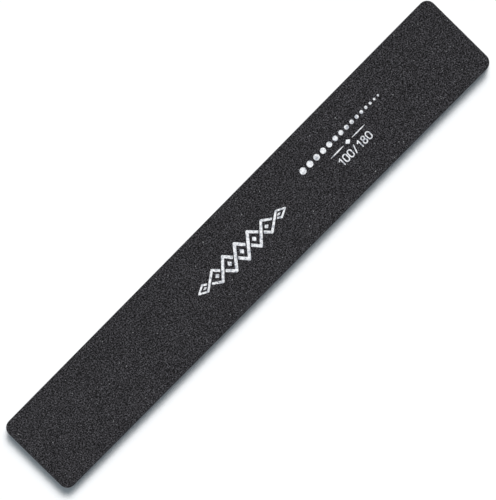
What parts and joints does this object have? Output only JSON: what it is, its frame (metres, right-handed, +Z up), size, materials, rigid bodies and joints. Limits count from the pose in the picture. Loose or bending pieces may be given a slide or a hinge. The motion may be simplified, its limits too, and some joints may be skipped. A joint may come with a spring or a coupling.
{
  "type": "emery board",
  "caption": "Wide straight double-sided emery board: a stiff core between foam cushions, faced with coarse and fine grit paper, with rounded corners, for filing nails.",
  "frame": {"origin": "middle of the resting face, which is the fine face", "axes": "+X along the board's length, +Y across its width, +Z up out of the coarse face"},
  "size_m": [0.178, 0.027, 0.004],
  "materials": {
    "coarse_grit": "coarse silicon carbide grains, near black with pale glints",
    "fine_grit": "fine silicon carbide grains, near black",
    "resin": "dark bonding resin",
    "backing_paper": "dark waterproof paper, cut edge",
    "adhesive_tape": "milky double-sided tape, cut edge",
    "foam": "charcoal closed-cell foam, cut edge",
    "core_plastic": "off-white polystyrene, cut edge",
    "print_ink": "silver-white ink printed on the coarse grains"
  },
  "bodies": {
    "root": {"lower_grit_layer": "fine_grit", "lower_resin_coat": "resin", "lower_backing_paper": "backing_paper", "lower_paper_tape": "adhesive_tape", "lower_foam_cushion": "foam", "lower_core_tape": "adhesive_tape", "core_plate": "core_plastic", "upper_core_tape": "adhesive_tape", "upper_foam_cushion": "foam", "upper_paper_tape": "adhesive_tape", "upper_backing_paper": "backing_paper", "upper_resin_coat": "resin", "upper_grit_layer": "coarse_grit"}
  },
  "joints": []
}
